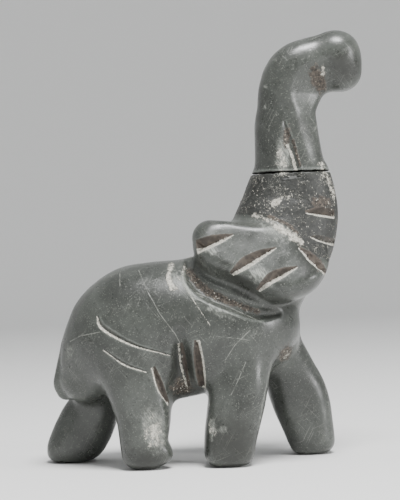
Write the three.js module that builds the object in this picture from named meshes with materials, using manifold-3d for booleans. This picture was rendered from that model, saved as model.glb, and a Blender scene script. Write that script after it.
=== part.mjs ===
// Soapstone elephant, carved by hand, standing with its trunk raised over its forehead.
// The trunk has snapped off and been glued back, so there are two solids: the carving
// and the end of the trunk. Millimetres, +Z up, the elephant faces +X and its right
// flank, the one with the long cuts, is towards -Y. The soles rest on z = 0.
//
// The smooth stone is described by distance functions: limbs that swell and taper along
// a bent line, blended into each other. That skin is then meshed on a grid, and the knife
// cuts, the flat soles and the break are cut into the mesh as sharp solids.
import * as THREE from "three";
import Module from "manifold-3d";

// ---------------------------------------------------------------- driving sizes
const CELL = 2.25;            // grid spacing of the meshed skin
const SOLE_ROUND = 3.6;       // how far the rounding runs in from the edge of each sole
const SOLE_CUT = 0.1;         // stone shaved off to leave each sole truly flat
const LEG_SPREAD = 9.3;       // the legs' centre lines, out from the middle plane
const BREAK_GAP = 0.35;       // open joint where the trunk was glued back
const BREAK_HEIGHT = 66.0;    // where the trunk snapped
const BREAK_KNEE_X = 17.5;    // the break bends down behind this point
const BREAK_DROP = 0.6;       // how far it has dropped at the back of the trunk
const EAR_REACH = 16.2;       // ridge of each ear, out from the middle plane
const EAR_RIDGE = [6.0, 44.6];    // a point of that ridge, x and z
const UNDER_FACE = [-0.33, -0.66, -0.68];  // ear below the ridge falls back inwards
const UPPER_FACE = [0.1, -0.93, 0.38];        // ear above the ridge leans in to the neck
const FACE_CREST = [19.0, 50.0];  // a point where the ear ends at the face, x and z
const FACE_DEPTH = 12.8;          // its distance out from the middle plane
const FACE_SLOPE = [0.45, -0.7, 0.55];        // face, in front of that crest
const TRUNK_BEVEL = 0.589;     // share of the forward direction in the bevel of the trunk
const SPAN_STEPS = 4;         // straight pieces between two rings of a limb

// ---------------------------------------------------------------- the limbs
// A ring is [x, y, z, half height across the limb, depth ratio, squareness].
// Depth ratio is the half depth along Y over the half height; squareness is 2 for an
// ellipse and more for a boxier section.
const TORSO = [
  [-23, 0, 27.5, 8.5, 1.15, 2.4],
  [-20, 0, 30, 10.9, 1.1, 2.4],
  [-15.5, 0, 31.5, 14.1, 1.05, 2.4],
  [-9, 0, 31.5, 15.2, 1, 2.4],
  [-1, 0, 31.5, 15, 1, 2.4],
  [6.5, 0, 31.5, 13.2, 1.05, 2.4],
  [13.5, 0, 31, 8.3, 1.3, 2.4],
];
const RUMP = [
  [-21.5, 0, 31, 8.8, 1.1, 2.4],
  [-25.5, 0, 25.5, 7.4, 1, 2.4],
  [-28, 0, 20.5, 5.8, 0.95, 2.4],
];
const TAIL = [
  [-22, 0, 39, 2.3, 0.8, 2.4],
  [-25.5, 0, 36, 2.3, 0.8, 2.4],
  [-30.5, 0, 28, 2.1, 0.75, 2.4],
  [-33, 0, 20, 2.1, 0.7, 2.4],
  [-32.5, 0, 17.5, 2.1, 0.7, 2.4],
];
const BELLY = [
  [-12.5, -4, 20, 5, 1.2, 2.4],
  [-7, -1, 21, 5.3, 1.3, 2.4],
  [-1.5, 0, 22.5, 5.1, 1.3, 2.4],
];
const HIND_LEG_RIGHT = [
  [-18, -5, 28, 9.1, 0.9, 2.4],
  [-16.5, -8, 20, 6.8, 1, 2.4],
  [-14.5, -9, 13, 6.3, 0.9, 2.8],
  [-14.3, -LEG_SPREAD, 5.5, 5.6, 0.95, 2.8],
  [-13.7, -LEG_SPREAD, 0, 5.3, 0.95, 2.8],
];
const HIND_LEG_LEFT = [
  [-23.5, 6, 26.5, 7.5, 0.9, 2.4],
  [-25, 8, 18, 6.4, 0.95, 2.4],
  [-26.5, 8.5, 13, 6, 0.95, 2.6],
  [-28.7, LEG_SPREAD, 8.7, 6.6, 0.9, 2.6],
  [-31.7, LEG_SPREAD, 3, 6.3, 0.9, 2.6],
  [-32.3, LEG_SPREAD, 0, 5.7, 0.9, 2.6],
];
const FORE_LEG_RIGHT = [
  [8, -5, 29, 8.2, 1, 2.4],
  [7.2, -8.5, 20.5, 7.2, 0.85, 2.4],
  [6.8, -9, 15, 6.5, 0.9, 2.8],
  [5, -LEG_SPREAD, 6, 5.9, 0.95, 2.8],
  [4.7, -LEG_SPREAD, 0, 5.5, 0.95, 2.8],
];
const FORE_LEG_LEFT = [
  [15.3, 5, 28.5, 5.8, 1, 2.4],
  [19.5, 8, 19.5, 6.2, 0.85, 2.4],
  [22, LEG_SPREAD, 13, 6.7, 0.8, 2.8],
  [24.3, LEG_SPREAD, 4, 5.6, 0.9, 2.8],
  [24.3, LEG_SPREAD, 0, 5.2, 0.95, 2.8],
];
const NECK = [
  [-1.5, 0, 37, 10.2, 1.1, 2.4],
  [5, 0, 39.5, 9.9, 1.1, 2.4],
  [11, 0, 44, 9.7, 1.1, 2.4],
  [16.5, 0, 50.5, 9.9, 0.95, 2.4],
];
const THROAT = [
  [13.5, 0, 31, 7.9, 1.2, 2.4],
  [15.5, 0, 35.5, 6.5, 1.2, 2.4],
  [18, 0, 41.5, 6.9, 1, 2.4],
];
const TRUNK = [
  [18.8, 0, 49, 11.1, 0.85, 2.4],
  [19.7, 0, 53, 11.6, 0.8, 2.4],
  [20.5, 0, 57, 11.2, 0.75, 2.4],
  [21.2, 0, 63, 9.4, 0.82, 2.4],
  [21, 0, 67, 8.1, 0.88, 2.6],
  [20.5, 0, 75.5, 7.3, 0.92, 2.8],
  [20.7, 0, 80.5, 6.8, 0.95, 3],
  [21.6, 0, 84.7, 7.2, 0.95, 3],
  [23.6, 0, 88.3, 7.4, 0.95, 3],
  [27, 0, 90.2, 6.8, 0.95, 2.8],
  [31.2, 0, 91.3, 6.6, 0.9, 2.6],
];
const TRUNK_TIP = [
  [32.6, 0, 93.1, 5.3, 1.25, 2.4],
  [33.7, 0, 90.7, 4.4, 1.25, 2.4],
  [34.2, 0, 88.5, 4, 1.1, 2.4],
];
const EAR = [
  [2, -8, 51.5, 4.1, 1.25, 2.4],
  [5, -8, 48.7, 6.6, 1.25, 2.4],
  [9.8, -8, 46.3, 8.1, 1.25, 2.4],
  [15, -8, 45, 8.8, 1.2, 2.4],
  [19.2, -8, 45.3, 8.6, 1.1, 2.4],
  [21.8, -8, 46.1, 7, 1, 2.4],
];
// Hollows rubbed out of the stone: under the ears, in the bend of the trunk, and
// between the two right legs.
const COLLAR_HOLLOW = [
  [-2.7, -3.5, 47.1, 0.8, 1, 2],
  [-2.9, -10, 44, 1.2, 1, 2],
  [-0.9, -12.8, 41, 1.5, 1, 2],
  [2.4, -14, 38.7, 1.7, 1, 2],
  [7, -14, 36.5, 1.7, 1, 2],
  [12.1, -13, 34.5, 1.4, 1, 2],
  [16.7, -10.2, 34, 0.4, 1, 2],
];
const BELLY_HOLLOW = [
  [-5.6, -17.5, 30, 1.5, 1.9, 2],
  [-5.4, -17, 25, 2.6, 1.9, 2],
  [-5.2, -16.5, 20, 3.2, 1.9, 2],
  [-5.2, -16, 15, 3.6, 1.9, 2],
];
const BEND_HOLLOW = [
  [29.5, -8.2, 89.5, 2.2, 1, 2],
  [27.3, -8.2, 87, 2.6, 1, 2],
  [26.3, -7.6, 83.5, 2.2, 1, 2],
];

// ---------------------------------------------------------------- distance functions
// The smooth curve through a limb's rings, as short straight pieces.
function limb(rings) {
  const at = (i) => rings[Math.min(Math.max(i, 0), rings.length - 1)];
  const samples = [];
  for (let i = 0; i < rings.length - 1; i += 1) {
    for (let step = 0; step < SPAN_STEPS; step += 1) {
      const t = step / SPAN_STEPS;
      samples.push(at(i).map((b, k) => {
        const a = i > 0 ? at(i - 1)[k] : 2 * b - at(i + 1)[k];
        const c = at(i + 1)[k];
        const d = i + 2 < rings.length ? at(i + 2)[k] : 2 * c - b;
        const cubic = (3 * b - 3 * c + d - a) * t * t * t;
        return 0.5 * (2 * b + (c - a) * t + (2 * a - 5 * b + 4 * c - d) * t * t + cubic);
      }));
    }
  }
  samples.push(at(rings.length - 1));
  return samples;
}

// Signed distance to a limb, about right near its surface. `ahead` is how far the point
// lies to the right of the limb's run, seen from the side.
function limbDistance(samples, x, y, z) {
  let best = Infinity;
  let ahead = 0;
  for (let i = 0; i < samples.length - 1; i += 1) {
    const a = samples[i];
    const b = samples[i + 1];
    const runX = b[0] - a[0];
    const runZ = b[2] - a[2];
    const run = runX * runX + runZ * runZ;
    const along = ((x - a[0]) * runX + (z - a[2]) * runZ) / run;
    const t = Math.min(Math.max(along, 0), 1);
    const offX = x - a[0] - t * runX;
    const offZ = z - a[2] - t * runZ;
    const power = 0.5 * (a[5] + b[5]);
    const depth = Math.abs(y - a[1] - t * (b[1] - a[1])) / (a[4] + t * (b[4] - a[4]));
    const norm = Math.hypot(offX, offZ) ** power + depth ** power;
    const distance = norm ** (1 / power) - a[3] - t * (b[3] - a[3]);
    if (distance < best) {
      best = distance;
      ahead = (offX * runZ - offZ * runX) / Math.sqrt(run);
    }
  }
  return { distance: best, ahead };
}

// Union of two shapes with a fillet about `reach` wide, and the rounded intersection.
function blend(a, b, reach) {
  const h = Math.min(Math.max(0.5 + 0.5 * (b - a) / reach, 0), 1);
  return b + (a - b) * h - reach * h * (1 - h);
}

function trim(a, b, reach) {
  return -blend(-a, -b, reach);
}

const limbs = {};
for (const [name, rings] of Object.entries({
  TORSO, RUMP, TAIL, BELLY, HIND_LEG_RIGHT, HIND_LEG_LEFT, FORE_LEG_RIGHT,
  FORE_LEG_LEFT, NECK, THROAT, TRUNK, TRUNK_TIP, EAR, COLLAR_HOLLOW, BELLY_HOLLOW,
  BEND_HOLLOW,
})) {
  limbs[name] = limb(rings);
}

function facing(normal, pointX, pointY, pointZ, x, y, z) {
  const [nx, ny, nz] = normal;
  const length = Math.hypot(nx, ny, nz);
  return (nx * (x - pointX) + ny * (y - pointY) + nz * (z - pointZ)) / length;
}

// The right ear; the left one is its mirror image, so y is always given as negative.
function earDistance(x, y, z) {
  const ridge = [EAR_RIDGE[0], -EAR_REACH, EAR_RIDGE[1]];
  const crest = [FACE_CREST[0], -FACE_DEPTH, FACE_CREST[1]];
  let lobe = limbDistance(limbs.EAR, x, y, z).distance;
  lobe = trim(lobe, facing(UNDER_FACE, ...ridge, x, y, z), 1);
  lobe = trim(lobe, facing(UPPER_FACE, ...ridge, x, y, z), 1);
  return trim(lobe, facing(FACE_SLOPE, ...crest, x, y, z), 1);
}

function trunkDistance(x, y, z) {
  const { distance, ahead } = limbDistance(limbs.TRUNK, x, y, z);
  const rise = Math.min(Math.max((z - BREAK_HEIGHT) / 18, -1), 1);
  const side = Math.sqrt(1 - TRUNK_BEVEL * TRUNK_BEVEL);
  const bevel = TRUNK_BEVEL * ahead + side * Math.abs(y) - (9.2 - 3.7 * rise);
  const tip = limbDistance(limbs.TRUNK_TIP, x, y, z).distance;
  return blend(trim(distance, bevel, 0.9), tip, 1.5);
}

function stone(x, y, z) {
  const to = (name) => limbDistance(limbs[name], x, y, z).distance;
  let body = blend(to("TORSO"), to("RUMP"), 4);
  body = blend(body, to("BELLY"), 4);
  body = blend(body, to("HIND_LEG_RIGHT"), 4);
  body = blend(body, to("HIND_LEG_LEFT"), 3.5);
  body = blend(body, to("FORE_LEG_RIGHT"), 2.5);
  body = blend(body, to("FORE_LEG_LEFT"), 3);
  body = blend(body, to("TAIL"), 1.5);
  body = blend(body, to("THROAT"), 2);
  let head = blend(trunkDistance(x, y, z), to("NECK"), 3);
  const right = -Math.abs(y);
  head = blend(head, earDistance(x, right, z), 2.5);
  let whole = blend(body, head, 1);
  whole = trim(whole, -limbDistance(limbs.COLLAR_HOLLOW, x, right, z).distance, 1);
  whole = trim(whole, -limbDistance(limbs.BEND_HOLLOW, x, right, z).distance, 1.5);
  whole = trim(whole, -limbDistance(limbs.BELLY_HOLLOW, x, y, z).distance, 1.5);
  return trim(whole, -SOLE_CUT - z, SOLE_ROUND);
}

// ---------------------------------------------------------------- meshing the skin
// One vertex in each grid cell that the skin passes through, moved onto the skin, and
// one quad across each grid edge that the skin crosses.
function meshSkin(shape, low, high, cell) {
  const count = low.map((v, k) => Math.ceil((high[k] - v) / cell) + 1);
  const [nx, ny, nz] = count;
  const at = (i, j, k) => (k * ny + j) * nx + i;
  const place = (i, j, k) => [low[0] + i * cell, low[1] + j * cell, low[2] + k * cell];
  const value = new Float64Array(nx * ny * nz);
  for (let k = 0; k < nz; k += 1) {
    for (let j = 0; j < ny; j += 1) {
      for (let i = 0; i < nx; i += 1) {
        value[at(i, j, k)] = shape(...place(i, j, k));
      }
    }
  }
  const axes = [[1, 0, 0], [0, 1, 0], [0, 0, 1]];
  const vertices = [];
  const vertexOf = new Map();
  const vertexIn = (i, j, k) => {
    const key = at(i, j, k);
    if (!vertexOf.has(key)) {
      vertexOf.set(key, vertices.length / 3);
      vertices.push(...settle(shape, cellCrossing(value, at, place, axes, [i, j, k]), cell));
    }
    return vertexOf.get(key);
  };
  const triangles = [];
  for (let k = 1; k < nz - 1; k += 1) {
    for (let j = 1; j < ny - 1; j += 1) {
      for (let i = 1; i < nx - 1; i += 1) {
        axes.forEach(([di, dj, dk]) => {
          const here = value[at(i, j, k)];
          const there = value[at(i + di, j + dj, k + dk)];
          if ((here < 0) === (there < 0)) return;
          // the four cells around this edge, in turning order about it
          const [ui, uj, uk] = [dk, di, dj];
          const [vi, vj, vk] = [dj, dk, di];
          const ring = [
            vertexIn(i, j, k),
            vertexIn(i - ui, j - uj, k - uk),
            vertexIn(i - ui - vi, j - uj - vj, k - uk - vk),
            vertexIn(i - vi, j - vj, k - vk),
          ];
          if (!(here < 0)) ring.reverse();
          triangles.push(...splitQuad(vertices, ring));
        });
      }
    }
  }
  return { vertices, triangles };
}

// Mean of the places where the skin crosses a cell's twelve edges.
function cellCrossing(value, at, place, axes, [i, j, k]) {
  const sum = [0, 0, 0];
  let hits = 0;
  axes.forEach((axis, n) => {
    for (let corner = 0; corner < 4; corner += 1) {
      const start = [i, j, k];
      start[(n + 1) % 3] += corner & 1;
      start[(n + 2) % 3] += corner >> 1;
      const end = start.map((v, m) => v + axis[m]);
      const a = value[at(...start)];
      const b = value[at(...end)];
      if ((a < 0) !== (b < 0)) {
        const from = place(...start);
        const to = place(...end);
        from.forEach((v, m) => { sum[m] += v + (to[m] - v) * a / (a - b); });
        hits += 1;
      }
    }
  });
  return sum.map((v) => v / hits);
}

// Walk a point down the slope of the distance function until it lies on the skin.
function settle(shape, start, cell) {
  const point = [...start];
  const small = 0.05;
  for (let round = 0; round < 4; round += 1) {
    const d = shape(...point);
    const slope = point.map((_, k) => {
      const ahead = [...point];
      ahead[k] += small;
      const behind = [...point];
      behind[k] -= small;
      return (shape(...ahead) - shape(...behind)) / (2 * small);
    });
    const steep = slope.reduce((s, g) => s + g * g, 0.05);
    slope.forEach((g, k) => {
      const move = -0.9 * d * g / steep;
      point[k] += Math.min(Math.max(move, -0.3 * cell), 0.3 * cell);
    });
  }
  return point;
}

function splitQuad(vertices, [a, b, c, d]) {
  const span = (p, q) => Math.hypot(
    vertices[3 * p] - vertices[3 * q],
    vertices[3 * p + 1] - vertices[3 * q + 1],
    vertices[3 * p + 2] - vertices[3 * q + 2],
  );
  return span(a, c) < span(b, d) ? [a, b, c, a, c, d] : [b, c, d, b, d, a];
}

// ---------------------------------------------------------------- solids and cuts
const wasm = await Module();
wasm.setup();

function solidOf(vertices, triangles) {
  return new wasm.Manifold(new wasm.Mesh({
    numProp: 3,
    vertProperties: Float32Array.from(vertices),
    triVerts: Uint32Array.from(triangles),
  }));
}

// A closed bar whose cross-section is the same polygon shape all along, from sections
// that each hold the same number of points.
function loft(sections) {
  const vertices = sections.flat(2);
  const size = sections[0].length;
  const triangles = [];
  for (let s = 0; s < sections.length - 1; s += 1) {
    for (let n = 0; n < size; n += 1) {
      const m = (n + 1) % size;
      const [a, b] = [s * size + n, s * size + m];
      triangles.push(a, b, a + size, b, b + size, a + size);
    }
  }
  const last = (sections.length - 1) * size;
  for (let n = 1; n < size - 1; n += 1) {
    triangles.push(0, n + 1, n, last, last + n, last + n + 1);
  }
  return solidOf(vertices, triangles);
}

// Where a line along Y at (x, z), coming in from the side, first meets the stone.
function skinY(x, z, side) {
  let y = side * 24;
  for (let n = 0; n < 60; n += 1) {
    const d = stone(x, y, z);
    if (Math.abs(d) < 0.01) break;
    y -= side * Math.min(Math.max(d, -2), 2) * 0.8;
  }
  return y;
}

// Outward direction of the skin at a point.
function skinNormal(x, y, z) {
  const small = 0.1;
  const normal = new THREE.Vector3(
    stone(x + small, y, z) - stone(x - small, y, z),
    stone(x, y + small, z) - stone(x, y - small, z),
    stone(x, y, z + small) - stone(x, y, z - small),
  );
  return normal.normalize();
}

// A knife cut with a V section, on the right side (side -1) or the left (side 1). Its
// path holds [x, z, width, depth], and `lean` moves the bottom line across, up to -1 or 1
// for a wall that stands straight up from the right or the left of the path.
function knifeCut({ path, lean }, side) {
  const lift = 1.8;
  const stops = limb(path).filter((_, n) => n % 2 === 0);
  const onSkin = stops.map(([x, z]) => new THREE.Vector3(x, skinY(x, z, side), z));
  const sections = stops.map(([, , width, deep], n) => {
    const here = onSkin[n];
    const before = onSkin[Math.max(n - 1, 0)];
    const after = onSkin[Math.min(n + 1, stops.length - 1)];
    const out = skinNormal(here.x, here.y, here.z);
    const across = after.clone().sub(before).cross(out).normalize().multiplyScalar(side);
    const spread = (deep + lift) / deep;
    const corner = (over, up) => here.clone()
      .addScaledVector(across, 0.5 * width * over).addScaledVector(out, up);
    const section = [
      corner(lean + (1 - lean) * spread, lift),
      corner(lean - (1 + lean) * spread, lift),
      corner(lean, -deep),
    ].map((v) => v.toArray());
    return side < 0 ? section : section.reverse();
  });
  return loft(sections);
}

// ---------------------------------------------------------------- the carver's cuts
// [x, z, width, depth] along each cut.
const EAR_SLOTS = [
  {
    lean: -0.5,
    path: [[-1.2, 49.4, 2.8, 1.5], [1.5, 50.3, 2.4, 1.5], [4.4, 51.2, 1.5, 1], [7.6, 52.1, 0.3, 0.3]],
  },
  {
    lean: -0.5,
    path: [[6.9, 43.3, 0.8, 0.5], [10, 45.2, 2, 1.3], [13, 46.7, 1.6, 1.1], [16.2, 48.2, 0.3, 0.3]],
  },
  {
    lean: -0.5,
    path: [[12.7, 39.5, 0.8, 0.5], [15, 41.4, 1.9, 1.2], [18, 43.1, 1.5, 1.1], [21.4, 44.5, 0.3, 0.3]],
  },
];
const MOUTH = {
  lean: 0,
  path: [[21.5, 48.2, 1.2, 0.6], [23.6, 46.7, 2.1, 1.1], [25.4, 45.1, 2.1, 1.1], [27.4, 43, 1, 0.6]],
};
const TRUNK_FOLDS = [
  { lean: -0.6, path: [[24.1, 56, 0.6, 0.4], [27.3, 56, 1.8, 0.8], [30, 55.6, 1.6, 0.8]] },
  { lean: -0.6, path: [[27.4, 50.6, 0.5, 0.4], [28.6, 50.4, 1.2, 0.6], [29.8, 50.2, 1.2, 0.6]] },
];
const FLANK_CUTS = [
  {
    lean: -0.2,
    path: [[-23.7, 34.8, 0.5, 0.3], [-22.4, 32.3, 1.4, 0.7], [-16, 28.5, 1, 0.6], [-7.8, 25.8, 0.3, 0.2]],
  },
  {
    lean: -0.2,
    path: [[-22.5, 27.4, 0.3, 0.2], [-18, 24.2, 0.9, 0.5], [-13.3, 22.3, 0.5, 0.3]],
  },
];
const LEG_FOLDS = [
  { lean: 0.3, path: [[-11.7, 23, 0.8, 0.5], [-10.3, 18.6, 1.6, 0.9], [-8.7, 14.8, 1, 0.6]] },
  { lean: 0.3, path: [[-5.5, 28.2, 0.8, 0.5], [-4.9, 23.5, 1.3, 0.8], [-4.1, 18.5, 0.8, 0.5]] },
  { lean: -0.5, path: [[-1.7, 28.7, 1, 0.5], [-1.5, 24, 2.2, 1.3], [-0.8, 18.2, 1.4, 1]] },
];
const TRUNK_GOUGE = { lean: 0.1, path: [[19.7, 77.5, 0.6, 0.3], [20.5, 71, 4, 0.8], [21, 64.5, 5, 0.8]] };

// The right side has every cut; the left is plainer.
const RIGHT_CUTS = [
  ...EAR_SLOTS, MOUTH, ...TRUNK_FOLDS, ...FLANK_CUTS, ...LEG_FOLDS, TRUNK_GOUGE,
];
const LEFT_CUTS = [...EAR_SLOTS, MOUTH, ...TRUNK_FOLDS];

function block(low, high) {
  const [x0, y0, z0] = low;
  const [x1, y1, z1] = high;
  return loft([x0, x1].map((x) => [[x, y0, z0], [x, y1, z0], [x, y1, z1], [x, y0, z1]]));
}

// The break as a thin bent sheet right across the trunk.
function breakSheet() {
  const rows = [[0, -BREAK_DROP], [BREAK_KNEE_X, 0], [40, 0]];
  return loft(rows.map(([x, rise]) => {
    const z = BREAK_HEIGHT + rise;
    const half = 0.5 * BREAK_GAP;
    return [[x, -20, z - half], [x, 20, z - half], [x, 20, z + half], [x, -20, z + half]];
  }));
}

const skin = meshSkin(stone, [-40.5, -24, -4], [44.5, 24, 106], CELL);
let carved = solidOf(skin.vertices, skin.triangles);
carved = carved.intersect(block([-60, -60, 0], [60, 60, 120]));
RIGHT_CUTS.forEach((cut) => { carved = carved.subtract(knifeCut(cut, -1)); });
LEFT_CUTS.forEach((cut) => { carved = carved.subtract(knifeCut(cut, 1)); });
const parts = carved.subtract(breakSheet()).decompose();
parts.sort((a, b) => a.boundingBox().min[2] - b.boundingBox().min[2]);

// ---------------------------------------------------------------- the scene graph
function meshOf(name, solid, color, roughness) {
  const { vertProperties, triVerts } = solid.getMesh();
  const geometry = new THREE.BufferGeometry();
  geometry.setAttribute("position", new THREE.BufferAttribute(vertProperties, 3));
  geometry.setIndex(new THREE.BufferAttribute(triVerts, 1));
  geometry.computeVertexNormals();
  const material = new THREE.MeshStandardMaterial({ color, roughness, metalness: 0 });
  material.name = name;
  const mesh = new THREE.Mesh(geometry, material);
  mesh.name = name;
  return mesh;
}

const elephant = new THREE.Group();
elephant.name = "soapstone_elephant";
elephant.add(meshOf("carving", parts[0], 0x5b5f5a, 0.42));
elephant.add(meshOf("trunk_end", parts[1], 0x5f635e, 0.38));

export default elephant;
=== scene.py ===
# %% [markdown]
# # A soapstone elephant, carved by hand
#
# Soapstone is soft enough to cut with a knife. The carver sawed a block, rasped it to an
# elephant, cut the ears and folds with a blade, rubbed the stone smooth and waxed it.
# Since then the trunk has snapped and been glued back, and the stone has been scratched.
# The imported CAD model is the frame: it fixes the size and the place of both pieces of
# stone, and here each is carved again, finely enough for the knife cuts and the wear.

# %% Open the frame
import math

import bmesh
import bpy
import numpy as np
from mathutils import Euler, Matrix, Vector


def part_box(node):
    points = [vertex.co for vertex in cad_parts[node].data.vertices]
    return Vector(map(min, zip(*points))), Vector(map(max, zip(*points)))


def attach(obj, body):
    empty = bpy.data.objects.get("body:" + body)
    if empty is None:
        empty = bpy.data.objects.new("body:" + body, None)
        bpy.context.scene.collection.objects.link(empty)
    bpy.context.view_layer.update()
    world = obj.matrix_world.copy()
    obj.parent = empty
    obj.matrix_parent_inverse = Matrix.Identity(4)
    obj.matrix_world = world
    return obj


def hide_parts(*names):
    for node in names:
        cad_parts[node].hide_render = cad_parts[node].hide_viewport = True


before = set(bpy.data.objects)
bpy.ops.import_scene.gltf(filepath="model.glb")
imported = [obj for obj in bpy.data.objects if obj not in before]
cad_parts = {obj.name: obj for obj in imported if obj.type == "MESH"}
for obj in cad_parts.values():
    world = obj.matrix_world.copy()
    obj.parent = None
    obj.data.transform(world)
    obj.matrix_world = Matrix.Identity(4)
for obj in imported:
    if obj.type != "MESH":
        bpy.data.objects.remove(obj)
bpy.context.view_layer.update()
MM = 0.001
print("pieces of stone in the frame:", sorted(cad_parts))

# %% [markdown]
# ## Stone as distances
#
# Rasped stone has no straight edges to draw. Each mass of the animal is a limb: a row of
# rings along a bent line, each with a height, a depth and a squareness. A function gives
# the distance from any point to the limb, and two limbs are joined by blending their
# distances, which leaves the same soft hollow between them as a rasp does.

# %% Blend and trim
def blend(a, b, reach):
    """Union of two shapes, with a hollow about `reach` wide where they meet."""
    h = np.clip(0.5 + 0.5 * (b - a) / reach, 0, 1)
    return b + (a - b) * h - reach * h * (1 - h)


def trim(a, b, reach):
    """What two shapes share, with the edge between them rounded."""
    return -blend(-a, -b, reach)


def ease(low, high, value):
    """0 below `low`, 1 above `high`, and a smooth step between."""
    t = np.clip((value - low) / (high - low), 0, 1)
    return t * t * (3 - 2 * t)


# %% A limb through its rings
SEARCH_STEPS = 4       # tries in each span of a limb for the nearest ring
FAR = 60.0             # distance given to points that a limb can't reach


def ring_at(rings, place):
    """The smooth row of rings at any place along it, from 0 to the last ring."""
    padded = np.vstack([2 * rings[0] - rings[1], rings, 2 * rings[-1] - rings[-2]])
    i = np.clip(place.astype(int), 0, len(rings) - 2)
    t = (place - i)[:, None]
    a, b, c, d = (padded[i + k] for k in range(4))
    return 0.5 * (2 * b + (c - a) * t + (2 * a - 5 * b + 4 * c - d) * t ** 2
                  + (3 * b - 3 * c + d - a) * t ** 3)


def ring_distance(points, ring):
    """Distance from each point to its own ring, taken as a slice of a round bar."""
    x, y, z, half, ratio, power = ring.T
    off = np.hypot(points[:, 0] - x, points[:, 2] - z)
    depth = np.abs(points[:, 1] - y) / ratio
    return (off ** power + depth ** power) ** (1 / power) - half


def limb_distance(points, rings, with_side=False):
    """Distance to a limb, and how far each point lies to the right of its run."""
    rings = np.array(rings, float)
    reach = rings[:, 3] * np.maximum(1, rings[:, 4]) + 5
    low = (rings[:, :3] - reach[:, None]).min(0)
    high = (rings[:, :3] + reach[:, None]).max(0)
    near = np.flatnonzero(((points > low) & (points < high)).all(1))
    p = points[near]
    best, place = np.full(len(p), FAR), np.zeros(len(p))
    last = len(rings) - 1
    stops = np.linspace(0, last, last * SEARCH_STEPS + 1)
    samples = ring_at(rings, stops)
    for a, b, stop in zip(samples[:-1], samples[1:], stops):
        run_x, run_z = b[0] - a[0], b[2] - a[2]
        along = (p[:, 0] - a[0]) * run_x + (p[:, 2] - a[2]) * run_z
        t = np.clip(along / (run_x ** 2 + run_z ** 2), 0, 1)
        off_x, off_z = p[:, 0] - a[0] - t * run_x, p[:, 2] - a[2] - t * run_z
        depth = (p[:, 1] - a[1] - t * (b[1] - a[1])) / (0.5 * (a[4] + b[4]))
        d = np.sqrt(off_x ** 2 + off_z ** 2 + depth ** 2) - a[3] - t * (b[3] - a[3])
        closer = d < best
        best[closer] = d[closer]
        place[closer] = stop + t[closer] / SEARCH_STEPS
    for step in (0.5 / SEARCH_STEPS, 0.15 / SEARCH_STEPS):
        tries = [np.clip(place + k * step, 0, last) for k in (-1, 0, 1)]
        before, here, after = (ring_distance(p, ring_at(rings, u)) for u in tries)
        bend = np.maximum(before - 2 * here + after, 1e-6)
        place = np.clip(place + np.clip(0.5 * (before - after) / bend, -1, 1) * step, 0, last)
    ring = ring_at(rings, place)
    result = np.full(len(points), FAR)
    result[near] = ring_distance(p, ring)
    if not with_side:
        return result
    ahead = ring_at(rings, np.clip(place + 0.05, 0, last))
    behind = ring_at(rings, np.clip(place - 0.05, 0, last))
    run_x, run_z = ahead[:, 0] - behind[:, 0], ahead[:, 2] - behind[:, 2]
    side = np.zeros(len(points))
    side[near] = ((p[:, 0] - ring[:, 0]) * run_z - (p[:, 2] - ring[:, 2]) * run_x) \
        / np.hypot(run_x, run_z)
    return result, side


# %% [markdown]
# ## The masses of the animal
#
# These are the sizes of the frame's solids, in millimetres, with a little more added: a toe
# and a scoop above it on the right hind foot, and a shoulder up to 0.6 mm deeper. Each ring
# is x, y, z, half height, depth ratio and squareness, where 2 is an ellipse. Hollows are
# limbs too, and are taken out of the stone.

# %% Rings of every mass
SOLE_ROUND = 3.6
SOLE_CUT = 0.1
LEG_SPREAD = 9.3
BREAK_HEIGHT = 66.0
EAR_REACH = 16.2
EAR_RIDGE = (6.0, 44.6)
UNDER_FACE = (-0.33, -0.66, -0.68)
UPPER_FACE = (0.1, -0.93, 0.38)
FACE_CREST = (19.0, 50.0)
FACE_DEPTH = 12.8
FACE_SLOPE = (0.45, -0.7, 0.55)
TRUNK_BEVEL = 0.589    # how far the flat down the front of the trunk is turned ahead
BEVEL_AT = 9.2         # from the trunk's middle to that flat, at the break
BEVEL_CLOSES = 3.7     # how much nearer it comes over the next BEVEL_SPAN
BEVEL_SPAN = 18.0
WAVES = ((0.13, 6.5, 11), (0.035, 2.2, 12))    # rasp waves: height, width, seed

TORSO = [
    (-23, 0, 27.5, 8.5, 1.15, 2.4),
    (-20, 0, 30, 10.9, 1.1, 2.4),
    (-15.5, 0, 31.5, 14.1, 1, 2.4),
    (-9, 0, 31.5, 15.2, 1, 2.4),
    (-1, 0, 31.5, 15, 1.04, 2.4),
    (6.5, 0, 31.5, 13.2, 1.08, 2.4),
    (13.5, 0, 31, 8.3, 1.3, 2.4),
]
RUMP = [
    (-21.5, 0, 31, 8.8, 1.1, 2.4),
    (-25.5, 0, 25.5, 7.4, 1, 2.4),
    (-28, 0, 20.5, 5.8, 0.95, 2.4),
]
TAIL = [
    (-22, 0, 39, 2.3, 0.8, 2.4),
    (-25.5, 0, 36, 2.3, 0.8, 2.4),
    (-30.5, 0, 28, 2.1, 0.75, 2.4),
    (-33, 0, 20, 2.1, 0.7, 2.4),
    (-32.5, 0, 17.5, 2.1, 0.7, 2.4),
]
BELLY = [
    (-12.5, -4, 20, 5, 1.2, 2.4),
    (-7, -1, 21, 5.3, 1.3, 2.4),
    (-1.5, 0, 22.5, 5.1, 1.3, 2.4),
]
HIND_LEG_RIGHT = [
    (-18, -5, 28, 9.1, 0.9, 2.4),
    (-16.5, -8, 20, 6.8, 1, 2.4),
    (-14.5, -9, 13, 6.3, 0.9, 2.8),
    (-14.6, -LEG_SPREAD, 5.5, 5.3, 0.98, 2.8),
    (-14.3, -LEG_SPREAD, 0, 4.7, 1, 2.8),
]
TOE = [
    (-13, -10, 3.2, 3.6, 1, 2.4),
    (-11.2, -10.2, 3.4, 3.2, 1, 2.4),
]
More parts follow.
